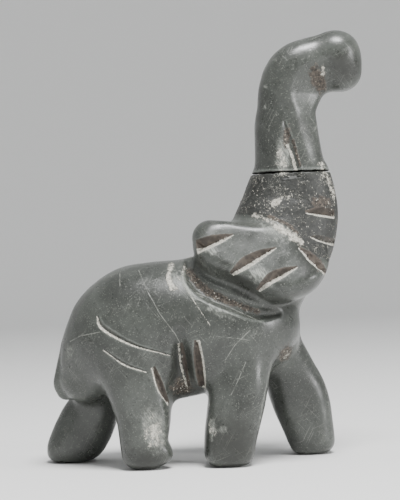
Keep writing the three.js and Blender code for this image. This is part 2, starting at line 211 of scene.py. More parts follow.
HIND_LEG_LEFT = [
    (-23.5, 6, 26.5, 7.5, 0.9, 2.4),
    (-25, 8, 18, 6.4, 0.95, 2.4),
    (-26.5, 8.5, 13, 6, 0.95, 2.6),
    (-28.7, LEG_SPREAD, 8.7, 6.6, 0.9, 2.6),
    (-31.7, LEG_SPREAD, 3, 6.3, 0.9, 2.6),
    (-32.3, LEG_SPREAD, 0, 5.7, 0.9, 2.6),
]
FORE_LEG_RIGHT = [
    (8, -5, 29, 8.2, 1, 2.4),
    (7.2, -8.5, 20.5, 7.2, 0.85, 2.4),
    (6.8, -9, 15, 6.5, 0.9, 2.8),
    (5, -LEG_SPREAD, 6, 5.9, 0.95, 2.8),
    (4.7, -LEG_SPREAD, 0, 5.5, 0.95, 2.8),
]
FORE_LEG_LEFT = [
    (15.3, 5, 28.5, 5.8, 1, 2.4),
    (19.5, 8, 19.5, 6.2, 0.85, 2.4),
    (22, LEG_SPREAD, 13, 6.7, 0.8, 2.8),
    (24.3, LEG_SPREAD, 4, 5.6, 0.9, 2.8),
    (24.3, LEG_SPREAD, 0, 5.2, 0.95, 2.8),
]
NECK = [
    (-1.5, 0, 37, 10.2, 1.1, 2.4),
    (5, 0, 39.5, 9.9, 1.1, 2.4),
    (11, 0, 44, 9.7, 1.1, 2.4),
    (16.5, 0, 50.5, 9.9, 0.95, 2.4),
]
THROAT = [
    (13.5, 0, 31, 7.9, 1.2, 2.4),
    (15.5, 0, 35.5, 6.5, 1.2, 2.4),
    (18, 0, 41.5, 6.9, 1, 2.4),
]
TRUNK = [
    (18.8, 0, 49, 11.1, 0.85, 2.4),
    (19.7, 0, 53, 11.6, 0.8, 2.4),
    (20.5, 0, 57, 11.2, 0.75, 2.4),
    (21.2, 0, 63, 9.4, 0.82, 2.4),
    (21, 0, 67, 8.1, 0.88, 2.6),
    (20.5, 0, 75.5, 7.3, 0.92, 2.8),
    (20.7, 0, 80.5, 6.8, 0.95, 3),
    (21.6, 0, 84.7, 7.2, 0.95, 3),
    (23.6, 0, 88.3, 7.4, 0.95, 3),
    (27, 0, 90.2, 6.8, 0.95, 2.8),
    (31.2, 0, 91.3, 6.6, 0.9, 2.6),
]
TRUNK_TIP = [
    (32.6, 0, 93.1, 5.3, 1.25, 2.4),
    (33.7, 0, 90.7, 4.4, 1.25, 2.4),
    (34.2, 0, 88.5, 4, 1.1, 2.4),
]
EAR = [
    (2, -8, 51.5, 4.1, 1.25, 2.4),
    (5, -8, 48.7, 6.6, 1.25, 2.4),
    (9.8, -8, 46.3, 8.1, 1.25, 2.4),
    (15, -8, 45, 8.8, 1.2, 2.4),
    (19.2, -8, 45.3, 8.6, 1.1, 2.4),
    (21.8, -8, 46.1, 7, 1.0, 2.4),
]
COLLAR_HOLLOW = [
    (-2.7, -3.5, 47.1, 0.8, 1, 2),
    (-2.9, -10, 44, 1.2, 1, 2),
    (-0.9, -13.2, 41, 1.5, 1, 2),
    (2.4, -14.4, 38.7, 1.7, 1, 2),
    (7, -14.2, 36.5, 1.7, 1, 2),
    (12.1, -13, 34.5, 1.4, 1, 2),
    (16.7, -10.2, 34, 0.4, 1, 2),
]
BELLY_HOLLOW = [
    (-5.6, -17.5, 30, 1.5, 1.9, 2),
    (-5.4, -17, 25, 2.6, 1.9, 2),
    (-5.2, -16.5, 20, 3.2, 1.9, 2),
    (-5.2, -16, 15, 3.6, 1.9, 2),
]
SHANK_HOLLOW = [
    (-12.2, -16.3, 15.5, 1.3, 1, 2.6),
    (-12.4, -16.8, 12, 3, 1, 2.6),
    (-11.2, -16.9, 8, 3.2, 1, 2.6),
]
BEND_HOLLOW = [
    (29.5, -8.2, 89.5, 2.2, 1, 2),
    (27.3, -8.2, 87, 2.6, 1, 2),
    (26.3, -7.6, 83.5, 2.2, 1, 2),
]

# %% Noise with a fixed seed
def grain(points, size, seed):
    """Smooth noise from -1 to 1, with lumps about `size` millimetres across."""
    table = np.random.default_rng(seed).uniform(-1, 1, 4096)
    at = points / size + 100
    cell = np.floor(at).astype(np.int64)
    t = at - cell
    t = t * t * (3 - 2 * t)
    total = np.zeros(len(points))
    for corner in np.ndindex(2, 2, 2):
        where = cell + corner
        value = table[(where @ np.array([73, 1259, 3571])) % 4096]
        total += value * np.prod(np.where(corner, t, 1 - t), 1)
    return total


# %% The whole elephant as one distance
def facing(points, normal, x, y, z):
    """Distance in front of a flat face that holds one point of an ear's edge."""
    n = np.array(normal) / np.linalg.norm(normal)
    return (points - (x, y, z)) @ n


def ear_distance(points):
    lobe = limb_distance(points, EAR)
    ridge = EAR_RIDGE[0], -EAR_REACH, EAR_RIDGE[1]
    lobe = trim(lobe, facing(points, UNDER_FACE, *ridge), 1)
    lobe = trim(lobe, facing(points, UPPER_FACE, *ridge), 1)
    return trim(lobe, facing(points, FACE_SLOPE, FACE_CREST[0], -FACE_DEPTH, FACE_CREST[1]), 1)


def trunk_distance(points):
    limb, ahead = limb_distance(points, TRUNK, with_side=True)
    rise = np.clip((points[:, 2] - BREAK_HEIGHT) / BEVEL_SPAN, -1, 1)
    across = math.sqrt(1 - TRUNK_BEVEL ** 2)
    bevel = TRUNK_BEVEL * ahead + across * np.abs(points[:, 1]) - (BEVEL_AT - BEVEL_CLOSES * rise)
    bevel = np.where(limb < FAR, bevel, -FAR)
    return blend(trim(limb, bevel, 0.9), limb_distance(points, TRUNK_TIP), 1.5)


def rubbed_stone(points):
    """Signed distance to the smooth elephant, before the knife cuts."""
    body = blend(limb_distance(points, TORSO), limb_distance(points, RUMP), 4)
    for mass, reach in ((BELLY, 4), (HIND_LEG_RIGHT, 4), (HIND_LEG_LEFT, 3.5),
                        (FORE_LEG_RIGHT, 2.5), (FORE_LEG_LEFT, 3), (TAIL, 1.5),
                        (THROAT, 2), (TOE, 1.2)):
        body = blend(body, limb_distance(points, mass), reach)
    body = trim(body, -limb_distance(points, SHANK_HOLLOW), 0.8)
    head = blend(trunk_distance(points), limb_distance(points, NECK), 3)
    right = np.column_stack([points[:, 0], -np.abs(points[:, 1]), points[:, 2]])
    whole = blend(body, blend(head, ear_distance(right), 2.5), 1)
    whole = trim(whole, -limb_distance(right, COLLAR_HOLLOW), 1)
    whole = trim(whole, -limb_distance(right, BEND_HOLLOW), 1.5)
    whole = trim(whole, -limb_distance(points, BELLY_HOLLOW), 1.5)
    whole += sum(height * grain(points, width, seed) for height, width, seed in WAVES)
    return trim(whole, -SOLE_CUT - points[:, 2], SOLE_ROUND)


# %% [markdown]
# ## Knife cuts
#
# Each cut is a V drawn along the skin: a path with a width and a depth at each point.
# `lean` moves the bottom of the V to one side, because the carver held the blade at a
# slant and one wall came out steeper.

# %% Walk a point onto the skin
def slope_of(shape, points, small=0.05):
    """Gradient of a distance function at each point."""
    steps = np.eye(3) * small
    return np.stack([shape(points + s) - shape(points - s) for s in steps], 1) / (2 * small)


def settle(shape, points, limit, rounds=3):
    """Moves points down the slope of a distance function until they lie on the skin."""
    points = points.copy()
    for _ in range(rounds):
        slope = slope_of(shape, points)
        steep = (slope ** 2).sum(1) + 0.05
        move = -(0.95 * shape(points) / steep)[:, None] * slope
        length = np.linalg.norm(move, axis=1, keepdims=True)
        points += move * np.minimum(1, limit / np.maximum(length, 1e-9))
    return points


def skin_points(flat_points, side):
    """Where lines along Y at each (x, z) first meet the stone, coming in from one side."""
    flat_points = np.array(flat_points, float)
    depths = np.arange(22, -8, -0.25) * side
    grid = np.array([[x, y, z] for x, z in flat_points for y in depths])
    inside = (rubbed_stone(grid) < 0).reshape(len(flat_points), -1)
    first = np.clip(inside.argmax(1), 1, None)
    y = depths[first]
    found = np.column_stack([flat_points[:, 0], y, flat_points[:, 1]])
    return settle(rubbed_stone, found, 0.3, 2)

# %% Cuts as distances
RIGHT, LEFT = -1, 1        # flanks, by the sign of y


class Cut:
    """A V along a path on the skin. Path rows are x, z, width and depth. `pale` is the
    wall that shows bare powdery stone, -1 lower or 1 upper, down to `rim` below its lip."""

    def __init__(self, name, path, lean=0.0, side=RIGHT, pale=-1, powder=1.0, soil=0.0,
                 rim=9.0):
        self.name, self.lean, self.pale = name, lean, pale
        self.powder, self.soil, self.rim = powder, soil, rim
        rows = np.array(path, float)
        stops = np.linspace(0, len(rows) - 1, 4 * len(rows))
        rows = ring_at(rows, stops)
        self.width, self.depth = rows[:, 2], rows[:, 3]
        self.at = skin_points(rows[:, :2], side)
        self.out = slope_of(rubbed_stone, self.at, 0.4)
        self.out /= np.linalg.norm(self.out, axis=1, keepdims=True)
        run = np.gradient(self.at, axis=0)
        self.across = np.cross(run, self.out) * side
        self.across /= np.linalg.norm(self.across, axis=1, keepdims=True)
        self.run = run / np.linalg.norm(run, axis=1, keepdims=True)
        reach = self.width.max() + self.depth.max() + 0.8
        self.low, self.high = self.at.min(0) - reach, self.at.max(0) + reach

    def near(self, points):
        return np.flatnonzero(((points > self.low) & (points < self.high)).all(1))

    def measure(self, p):
        """For each point: distance outside the walls, place across the keel, height
        above the skin and half width."""
        best, index, part = np.full(len(p), np.inf), np.zeros(len(p), int), np.zeros(len(p))
        for i in range(len(self.at) - 1):
            a, step = self.at[i], self.at[i + 1] - self.at[i]
            t = np.clip((p - a) @ step / (step @ step), 0, 1)
            d = ((p - a - t[:, None] * step) ** 2).sum(1)
            closer = d < best
            best[closer], index[closer], part[closer] = d[closer], i, t[closer]

        def mix(values):
            weight = part if values.ndim == 1 else part[:, None]
            return values[index] + (values[index + 1] - values[index]) * weight

        offset = p - mix(self.at)
        across = (offset * mix(self.across)).sum(1)
        up = (offset * mix(self.out)).sum(1)
        beyond = np.abs((offset * mix(self.run)).sum(1))
        half, deep = 0.5 * mix(self.width), mix(self.depth)
        keel = self.lean * half
        walls = []
        for sign in (1, -1):
            spread = half - sign * keel
            out = sign * (across - keel) * deep - (up + deep) * spread
            walls.append(out / np.hypot(deep, spread))
        wall = np.maximum(*walls)
        wall = np.maximum.reduce([wall, beyond - 0.1, np.abs(across) - half - 0.15])
        return wall, across - self.lean * half, up, half


# %% The cuts of the ears, the mouth, the trunk, the flank and the legs
EAR_SLOTS = {
    "rear": [(-1.0, 49.6, 3.2, 1.7), (1.5, 50.5, 2.8, 1.6), (4.4, 51.3, 1.8, 1),
             (7, 52, 0.3, 0.3)],
    "middle": [(6.6, 43.4, 1, 0.5), (9.6, 45.6, 2.5, 1.4), (12.8, 47.3, 2, 1.2),
               (16.4, 48.7, 0.3, 0.3)],
    "front": [(12.4, 39.6, 0.9, 0.5), (15, 41.9, 2.3, 1.3), (18, 43.3, 1.9, 1.2),
              (21, 44.3, 0.3, 0.3)],
}
cuts = []
for side, flank in ((RIGHT, "right"), (LEFT, "left")):
    for name, path in EAR_SLOTS.items():
        cuts.append(Cut(f"ear_{name}_{flank}", path, -0.2, side, soil=1))
    cuts.append(Cut(f"mouth_{flank}", [(21.9, 48.5, 0.6, 0.4), (24.3, 46.5, 2.5, 1.2),
                    (26, 44.7, 2.4, 1.2), (27.8, 42.6, 0.8, 0.5)], 0, side, soil=1))
    cuts.append(Cut(f"fold_high_{flank}", [(23.9, 56.6, 0.5, 0.3), (27, 56.6, 2, 0.9),
                    (30.4, 56, 1.8, 0.9)], -0.5, side, soil=1))
    cuts.append(Cut(f"fold_low_{flank}", [(24.8, 51, 0.4, 0.3), (26.6, 50.6, 1.4, 0.7),
                    (28.6, 50, 1.5, 0.7), (30.4, 49.6, 1.4, 0.7)], -0.4, side, soil=0.5))
cuts += [
    Cut("flank_long", [(-23.7, 34.8, 0.5, 0.3), (-22.4, 32.3, 1.3, 0.6), (-16, 28.5, 0.8, 0.5),
                       (-7.8, 25.8, 0.2, 0.15)], -0.2, powder=0.72),
    Cut("flank_short", [(-22.5, 27.4, 0.3, 0.2), (-18, 24.2, 0.7, 0.4),
                        (-13.3, 22.3, 0.4, 0.2)], -0.2, powder=0.7),
    Cut("leg_fold_1", [(-11.7, 23, 0.8, 0.5), (-10.3, 18.6, 1.8, 0.9), (-8.7, 14.8, 1, 0.6)],
        0.3, soil=1, powder=0.75, rim=0.3),
    Cut("leg_fold_2", [(-5.5, 28.2, 0.8, 0.4), (-4.9, 23.5, 1.3, 0.6), (-4.1, 18.5, 0.8, 0.4)],
        0.3, powder=0.65, soil=1, rim=0.2),
    Cut("leg_fold_3", [(-1.7, 28.7, 1, 0.5), (-1.5, 24, 2.2, 1.2), (-0.8, 18.2, 1.4, 0.9)],
        -0.3, pale=1, soil=1, powder=0.85, rim=0.3),
    Cut("trunk_gouge", [(19.7, 77.5, 0.6, 0.3), (20.5, 71, 4, 0.7), (21, 64.5, 5, 0.7)],
        0.3, powder=0.0),
]
print(len(cuts), "cuts")


def stone(points):
    """Signed distance to the carved stone, cuts included."""
    d = rubbed_stone(points)
    for cut in cuts:
        at = cut.near(points)
        if len(at):
            wall = cut.measure(points[at])[0]
            d[at] = trim(d[at], -wall, 0.08)
    return d


# %% [markdown]
# ## From distances to a mesh
#
# The skin is meshed on a grid: every cell that the skin passes through gets a vertex,
# and every grid edge it crosses gets a quad between the four cells around it. Only the
# cells near the skin are measured. The vertices then walk onto the exact skin.

# %% Mesh a skin
COARSE = 3     # fine cells in one coarse cell, along each axis


def mesh_skin(shape, low, high, cell):
    """Vertices and triangles of the zero surface of `shape` inside a box."""
    low, high = np.array(low, float), np.array(high, float)
    blocks = np.ceil((high - low) / (cell * COARSE)).astype(int)
    corners = np.stack(np.meshgrid(*(np.arange(n + 1) for n in blocks), indexing="ij"), -1)
    rough = shape(low + corners.reshape(-1, 3) * cell * COARSE).reshape(blocks + 1)
    value = np.repeat(np.repeat(np.repeat(rough, COARSE, 0), COARSE, 1), COARSE, 2)
    value = value[tuple(slice(0, n * COARSE + 1) for n in blocks)]
    value = np.where(value < 0, -FAR, FAR)
    size = value.shape
    near = np.argwhere(np.abs(rough) < 1.35 * cell * COARSE)
    span = np.arange(-COARSE, COARSE + 1)
    block = np.stack(np.meshgrid(span, span, span, indexing="ij"), -1).reshape(-1, 3)
    wanted = np.zeros(size, bool)
    for offset in block:
        at = near * COARSE + offset
        at = at[((at >= 0) & (at < size)).all(1)]
        wanted[tuple(at.T)] = True
    at = np.argwhere(wanted)
    value[tuple(at.T)] = shape(low + at * cell)
    inside = value < 0
    total = np.zeros(size + (3,))
    count = np.zeros(size)
    quads = []
    for axis in range(3):
        first = [slice(0, -1) if k == axis else slice(1, -1) for k in range(3)]
        second = [slice(1, None) if k == axis else slice(1, -1) for k in range(3)]
        crossed = inside[tuple(first)] != inside[tuple(second)]
        at = np.argwhere(crossed) + [0 if k == axis else 1 for k in range(3)]
        step = np.eye(3, dtype=int)[axis]
        a, b = value[tuple(at.T)], value[tuple((at + step).T)]
        hit = at + (a / (a - b))[:, None] * step
        u, v = np.eye(3, dtype=int)[(axis + 1) % 3], np.eye(3, dtype=int)[(axis + 2) % 3]
        ring = [at, at - u, at - u - v, at - v]
        for cells in ring:
            np.add.at(total, tuple(cells.T), hit)
            np.add.at(count, tuple(cells.T), 1)
        ids = np.stack([np.ravel_multi_index(tuple(c.T), size) for c in ring], 1)
        ids[a >= 0] = ids[a >= 0][:, ::-1]
        quads.append(ids)
    quads = np.vstack(quads)
    used, quads = np.unique(quads, return_inverse=True)
    quads = quads.reshape(-1, 4)
    points = total.reshape(-1, 3)[used] / count.reshape(-1)[used][:, None]
    points = settle(shape, low + points * cell, 0.4 * cell, 2)
    p = points[quads]
    short = np.linalg.norm(p[:, 0] - p[:, 2], axis=1) < np.linalg.norm(p[:, 1] - p[:, 3], axis=1)
    one = np.where(short[:, None], quads[:, [0, 1, 2]], quads[:, [1, 2, 3]])
    two = np.where(short[:, None], quads[:, [0, 2, 3]], quads[:, [1, 3, 0]])
    return points, np.vstack([one, two])


# %% Split edges where the stone needs a finer mesh
def refine(points, triangles, shape, wanted, rounds=3):
    """Halves every edge longer than `wanted(middle)`, and puts the new points on the skin."""
    for _ in range(rounds):
        ends = np.sort(triangles[:, [0, 1, 1, 2, 2, 0]].reshape(-1, 2), 1)
        edges, index = np.unique(ends, axis=0, return_inverse=True)
        index = index.reshape(-1, 3)
        middle = 0.5 * (points[edges[:, 0]] + points[edges[:, 1]])
        length = np.linalg.norm(points[edges[:, 0]] - points[edges[:, 1]], axis=1)
        split = length > 1.35 * wanted(middle)
        if not split.any():
            break
        number = np.full(len(edges), -1)
        number[split] = len(points) + np.arange(split.sum())
        points = np.vstack([points, settle(shape, middle[split], 0.2, 2)])
        mids = number[index]
        count = (mids >= 0).sum(1)
        parts = [triangles[count == 0]]
        v, m = triangles[count == 3], mids[count == 3]
        for corner in ((v[:, 0], m[:, 0], m[:, 2]), (v[:, 1], m[:, 1], m[:, 0]),
                       (v[:, 2], m[:, 2], m[:, 1]), (m[:, 0], m[:, 1], m[:, 2])):
            parts.append(np.stack(corner, 1))
        for turn in range(3):
            order = [(turn + k) % 3 for k in range(3)]
            v, m = triangles[:, order], mids[:, order]
            one = (count == 1) & (m[:, 0] >= 0)
            parts.append(np.stack([v[one, 0], m[one, 0], v[one, 2]], 1))
            parts.append(np.stack([m[one, 0], v[one, 1], v[one, 2]], 1))
            two = (count == 2) & (m[:, 2] < 0)
            parts.append(np.stack([m[two, 0], v[two, 1], m[two, 1]], 1))
            parts.append(np.stack([v[two, 0], m[two, 0], m[two, 1]], 1))
            parts.append(np.stack([v[two, 0], m[two, 1], v[two, 2]], 1))
        triangles = np.vstack(parts)
    return points, triangles


# %% [markdown]
# ## Two pieces, parted at the break
#
# The trunk snapped off and was glued back, so there are two stones. Both are cut from
# the same distances: one keeps what is below a slightly bent sheet, the other what is
# above it, with the lips of the break crumbled by a little noise.

# %% The two stones
BREAK_LINE = ((0, 17.5, 40), (65.4, 66.0, 66.0))    # x, and the height of the break there
BREAK_GAP = 0.35


def above_break(points):
    level = np.interp(points[:, 0], *BREAK_LINE)
    return points[:, 2] - level - 0.1 * grain(points, 0.9, 3)


def chipped(points, seed):
    """Half the width of the crack, wider where a lip has crumbled."""
    return 0.5 * BREAK_GAP + 0.22 * np.clip(grain(points, 0.7, seed), 0, 1)


def carved_stone(points):
    return trim(stone(points), above_break(points) + chipped(points, 4), 0.12)


def trunk_stone(points):
    return trim(stone(points), chipped(points, 5) - above_break(points), 0.12)


# %% [markdown]
# ## Marks of the knife, the glue and a long life, with painted shade and highlights
#
# A shader can only know where a mark is if the mesh tells it. Each kind of mark is a
# number at every point of the mesh: 0 is clean, 1 is the heart of the mark. The shader
# adds noise to that number before it draws the edge, which makes the edge ragged.

# %% Distance to a drawn line
def line_distance(points, line, side=RIGHT):
    """Millimetres from each point to a line of x, z pairs, seen from one flank."""
    flat = points[:, [0, 2]]
    best = np.full(len(points), 50.0)
    rows = np.array(line, float)[:, :2]
    for a, b in zip(rows[:-1], rows[1:]):
        t = np.clip((flat - a) @ (b - a) / ((b - a) @ (b - a)), 0, 1)
        best = np.minimum(best, np.linalg.norm(flat - a - t[:, None] * (b - a), axis=1))
    hidden = points[:, 1] * side < -1
    best[hidden] = 50
    return best


def patch(points, x, z, half_x, half_z, tilt=0.0, side=RIGHT):
    """1 at the heart of an oval patch, 0.5 at its rim and 0 well outside."""
    turn = math.radians(tilt)
    dx, dz = points[:, 0] - x, points[:, 2] - z
    u = (dx * math.cos(turn) + dz * math.sin(turn)) / half_x
    v = (dz * math.cos(turn) - dx * math.sin(turn)) / half_z
    shown = points[:, 1] * side > -1
    return np.clip(1 - 0.5 * np.hypot(u, v), 0, 1) * shown


def band(points, line, half, side=RIGHT):
    """The same along a line: 0.5 where the line's own half width ends."""
    return np.clip(1 - 0.5 * line_distance(points, line, side) / half, 0, 1)


# %% Where the scratches are
SCRATCHES = [
    [(-14.4, 44.9), (-12.5, 40.4), (-9.8, 35.1), (-6.6, 30.6), (-5.1, 27.4)],
    [(-2.3, 38.5), (3.7, 35.6), (9.2, 32.9)],
    [(-0.7, 38.6), (5.5, 36.0), (12.9, 32.3)],
    [(-1.6, 39.4), (3.0, 37.4)],
    [(2.6, 29.6), (6.8, 29.0), (10.1, 28.4)],
    [(-18.7, 44.2), (-18.6, 41.4)],
    [(-30.5, 29.2), (-28.0, 30.5), (-23.3, 31.4)],
    [(4.4, 24.2), (6.7, 27.5), (10.2, 30.7)],
    [(5.4, 16.4), (7.1, 19.6), (9.0, 23.6)],
]
DEEP_SCRATCH = [(-5.9, 43.4), (-4.6, 41.7), (-2.9, 38.9), (-0.8, 35.5), (1.3, 32.1)]
BREAK_FOOT = [(5, 57), (8.9, 56.8), (13.9, 56.2), (17.4, 54.9), (20, 53), (22.2, 50), (24.8, 47.2),
              (31, 44)]
COLLAR_LINE = [row[0::2][:2] for row in COLLAR_HOLLOW]


def scratch_distance(points):
    """Millimetres to the nearest fine scratch."""
    return np.minimum.reduce([line_distance(points, line) for line in SCRATCHES])


print(len(SCRATCHES), "fine scratches and a deep one")


# %% The two stones, meshed
NODES = {"carved_elephant": "carving", "trunk_piece": "trunk_end"}


def carving_detail(points):
    """Longest edge wanted at each point: short near cuts, scratches and the break."""
    wanted = np.full(len(points), 0.9)
    for cut in cuts:
        at = cut.near(points)
        if len(at):
            wall = cut.measure(points[at])[0]
            wanted[at] = np.minimum(wanted[at], 0.2 + 0.5 * np.clip(wall - 0.2, 0, 2))
    line = np.minimum(scratch_distance(points), line_distance(points, DEEP_SCRATCH))
    wanted = np.minimum(wanted, 0.16 + 0.6 * np.clip(line - 0.25, 0, 2))
    lip = np.abs(above_break(points))
    return np.minimum(wanted, 0.3 + 0.5 * np.clip(lip - 0.6, 0, 2))


stones = {}
for name, shape, low, high, cell in (
        ("carved_elephant", carved_stone, (-41.8, -21.9, -2.9), (42.2, 22.1, 67.5), 0.6),
        ("trunk_piece", trunk_stone, (10.1, -9.9, 64.3), (40.3, 10.1, 100.3), 0.42)):
    points, triangles = mesh_skin(shape, low, high, cell)
    points, triangles = refine(points, triangles, shape, carving_detail)
    box_low, box_high = (np.array(corner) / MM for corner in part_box(NODES[name]))
    points = np.clip(points, box_low, box_high)
    stones[name] = points, triangles
    print(name, len(triangles), "triangles")


# %% How the skin bends
def bend_of(points, triangles):
    """Positive on ridges and negative in hollows, per millimetre, averaged a little."""
    corner = points[triangles]
    face = np.cross(corner[:, 1] - corner[:, 0], corner[:, 2] - corner[:, 0])
    normal = np.zeros_like(points)
    for k in range(3):
        np.add.at(normal, triangles[:, k], face)
    normal /= np.linalg.norm(normal, axis=1, keepdims=True) + 1e-12
    ends = np.unique(np.sort(triangles[:, [0, 1, 1, 2, 2, 0]].reshape(-1, 2), 1), axis=0)
    a, b = ends.T
    gap = points[a] - points[b]
    length = np.linalg.norm(gap, axis=1) + 1e-9
    bend = ((normal[a] - normal[b]) * gap).sum(1) / length ** 2
    total, weight = np.zeros(len(points)), np.zeros(len(points))
    for end in (a, b):
        np.add.at(total, end, bend * length)
        np.add.at(weight, end, length)
    bend = total / np.maximum(weight, 1e-9)
    for _ in range(2):
        total, count = bend.copy(), np.ones(len(points))
        np.add.at(total, a, bend[b])
        np.add.at(total, b, bend[a])
        np.add.at(count, a, 1)
        np.add.at(count, b, 1)
        bend = total / count
    return bend


# %% Marks left by each cut
def cut_marks(points):
    """White powder on the pale wall of each cut, a brown stain on the rest."""
    powder, stain = np.zeros(len(points)), np.zeros(len(points))
    for cut in cuts:
        at = cut.near(points)
        wall, across, up, half = cut.measure(points[at])
        inside = ease(0.3, 0.02, wall) * ease(half + 0.35, half + 0.1,
                                              np.abs(across + cut.lean * half))
        pale = ease(-0.12 * cut.pale, 0.12 * cut.pale, across)
        pale = pale * ease(-cut.rim - 0.15, 0, up + 0.1)
        powder[at] = np.maximum(powder[at], cut.powder * inside * pale)
        stain[at] = np.maximum(stain[at], cut.soil * inside * (1 - pale))
    return powder, stain


# %% All the marks at each point
def marks_of(points, triangles):
    """Every mark, by name, as one number a point."""
    x, _, z = points.T
    powder, stain = cut_marks(points)
    foot = np.interp(x, *np.array(BREAK_FOOT).T)
    smeared = np.minimum(z - foot, BREAK_LINE[1][1] + 0.3 - z)
    glue = np.clip(0.5 + 0.5 * smeared, 0, 1)
    powder = np.maximum(powder, 0.72 * band(points, DEEP_SCRATCH, 0.13))
    dust = [np.zeros(len(points))]
    for side in (RIGHT, LEFT):
        dust += [
            0.9 * band(points, [(16.6, 53.9), (18.8, 52.5), (21.4, 50.7), (22.3, 49.9)],
                       0.95, side),
            0.72 * band(points, [(12.3, 56.4), (14.5, 55.5), (16.2, 54.2)], 0.8, side),
            0.7 * band(points, [(28, 67.6), (28.4, 66), (29.5, 63.9), (30.3, 61.6), (30.7, 59.9)],
                       0.8, side),
        ]
    # The three bands on the neck and the patch at the back edge of the fore leg are painted
    # highlights, and the hind-foot patch is partly one; the rest is pale dust and bared stone.
    dust += [
        0.8 * band(points, [(15.6, 57.6), (16.4, 59.2), (18.9, 60.1), (20.7, 60.3)], 0.35),
        0.62 * band(points, [(19, 65.6), (18.7, 68.5), (18.5, 71)], 1.2),
        patch(points, 17, 58.9, 1.3, 0.7, 35),
        band(points, [(-6.9, 45.6), (-7.7, 43.4), (-7, 40.6)], 0.6),
        band(points, [(-7.2, 42.4), (-5.7, 40.2)], 0.35),
        0.8 * band(points, [(-3.8, 45.6), (-4.6, 43.6)], 0.35),
        band(points, [(20.4, 72), (21.3, 69.5), (22.2, 66.3)], 0.35),
        0.9 * patch(points, 29, 88.6, 0.5, 1.3),
        0.9 * patch(points, 18.7, 24, 1, 0.5, 50),
        0.85 * patch(points, -12, 8.6, 1.9, 3.4, 8),
        0.7 * patch(points, 0.9, 8.6, 0.8, 2),
        0.6 * patch(points, 19.3, 68.6, 1.3, 3),
    ]
    # Brown dirt in the collar, the top of the ear, the bend of the trunk, the gouge and the mouth;
    # the patches under the belly and between the fore legs are painted shade.
    soil = np.maximum.reduce([
        0.85 * band(points, COLLAR_LINE[1:5], 1.05), 0.8 * band(points, COLLAR_LINE[3:-1], 0.75),
        0.8 * band(points, COLLAR_LINE, 0.9, LEFT),
        patch(points, 28, 87, 1.7, 3, 20), 0.8 * patch(points, 28, 87, 1.7, 3, 20, LEFT),
        0.9 * patch(points, 27.5, 58.6, 2.6, 1.7),
        band(points, [(15.5, 55.9), (19.8, 53.9), (21.6, 51.9)], 0.4),
        0.9 * patch(points, 18.3, 24.6, 1.7, 2.2, -40),
        0.75 * patch(points, -5.5, 18, 3.2, 3),
        0.9 * patch(points, 20.2, 74, 0.8, 3, -8),
        band(points, [(21.7, 73), (23, 67.4)], 0.35),
        0.7 * patch(points, 26.5, 44.5, 1.5, 2.4, 40),
    ])
    # Scuffs on the ears, the head, the trunk and the flank; the patches on the neck, the rump and
    # the back edge of the fore leg, and the bands down the fore leg's front and the neck, are
    # painted highlights, and on the hind foot the pale patch is both.
    scuff = np.maximum.reduce([
        patch(points, -11.9, 9.6, 2.5, 4.8, 8),
        0.8 * patch(points, -11.6, 6.2, 2.4, 2),
        0.9 * patch(points, 12.5, 43, 2.5, 2.2, -40),
        patch(points, 2.3, 48.6, 1.3, 1.1),
        0.9 * patch(points, 0.9, 9, 0.9, 2.8),
        0.75 * patch(points, 3.3, 8.8, 1.1, 1),
        patch(points, 19.2, 69.4, 1.5, 4.4, -3),
        0.7 * patch(points, 16.5, 52.5, 5, 2.6, -35),
        0.7 * patch(points, -6.2, 42.5, 2.4, 3.6),
        0.65 * patch(points, 3, 35.2, 5.5, 1.5, -28),
        0.7 * patch(points, 15.8, 85.6, 0.8, 0.8), 0.7 * patch(points, 15.6, 80.9, 0.6, 1),
        0.7 * patch(points, 18.3, 91.7, 0.7, 0.6),
        0.6 * patch(points, -31, 27, 2, 3),
        0.7 * band(points, [(11.2, 8.2), (12.6, 14.9), (15, 23.6)], 0.3),
        0.9 * band(points, [(-4.3, 44.3), (-4.2, 41.2), (-2.2, 38.3)], 0.6),
    ])
    # A dark patina on the trunk's tip; the other patches are painted shade under the ears, the
    # throat and the belly, around the mouth and low on the feet.
    patina = np.maximum.reduce([
        patch(points, 33.6, 90, 3.6, 4), patch(points, 33.6, 90, 3.6, 4, side=LEFT),
        patch(points, 8, 42, 7, 2.6, -38), patch(points, 8, 42, 7, 2.6, -38, LEFT),
        patch(points, -5, 21, 4.5, 6), 0.8 * patch(points, 19, 36, 6, 2.5),
        patch(points, 6, 5, 8, 8), patch(points, -13, 2.5, 6, 3),
        0.8 * patch(points, 22, 8, 8, 10), 0.6 * patch(points, -9, 24, 6, 6),
        patch(points, 23.5, 50, 3, 9, 8), patch(points, 25, 60, 3.5, 4),
    ])
    dust = np.maximum.reduce(dust)
    crumb = np.maximum.reduce([0.09 * glue * (smeared > 0), ease(0.3, 0.6, dust) * (x > 10),
                               0.4 * ease(0.4, 0.7, soil)])
    return {"powder": powder, "dust": dust, "soil": soil, "scuff": scuff, "stain": stain,
            "crumb": crumb, "glue": glue, "patina": patina,
            "scratch": np.clip(scratch_distance(points), -1, 3),
            "edge": np.clip(bend_of(points, triangles), -1, 1)}


# %% Stone objects
def stone_object(name, points, triangles, marks):
    """A mesh in metres, with the marks as attributes of its points."""
    mesh = bpy.data.meshes.new(name)
    mesh.from_pydata((points * MM).tolist(), [], triangles.tolist())
    mesh.update()
    mesh.shade_smooth()
    for mark, values in marks.items():
        layer = mesh.attributes.new(mark, "FLOAT", "POINT")
        layer.data.foreach_set("value", values.astype(np.float32))
    piece = bpy.data.objects.new(name, mesh)
    bpy.context.scene.collection.objects.link(piece)
    return piece


pieces = {name: stone_object(name, *parts, marks_of(*parts)) for name, parts in stones.items()}
for name, piece in pieces.items():
    print(name, "has", len(piece.data.vertices), "points with marks")

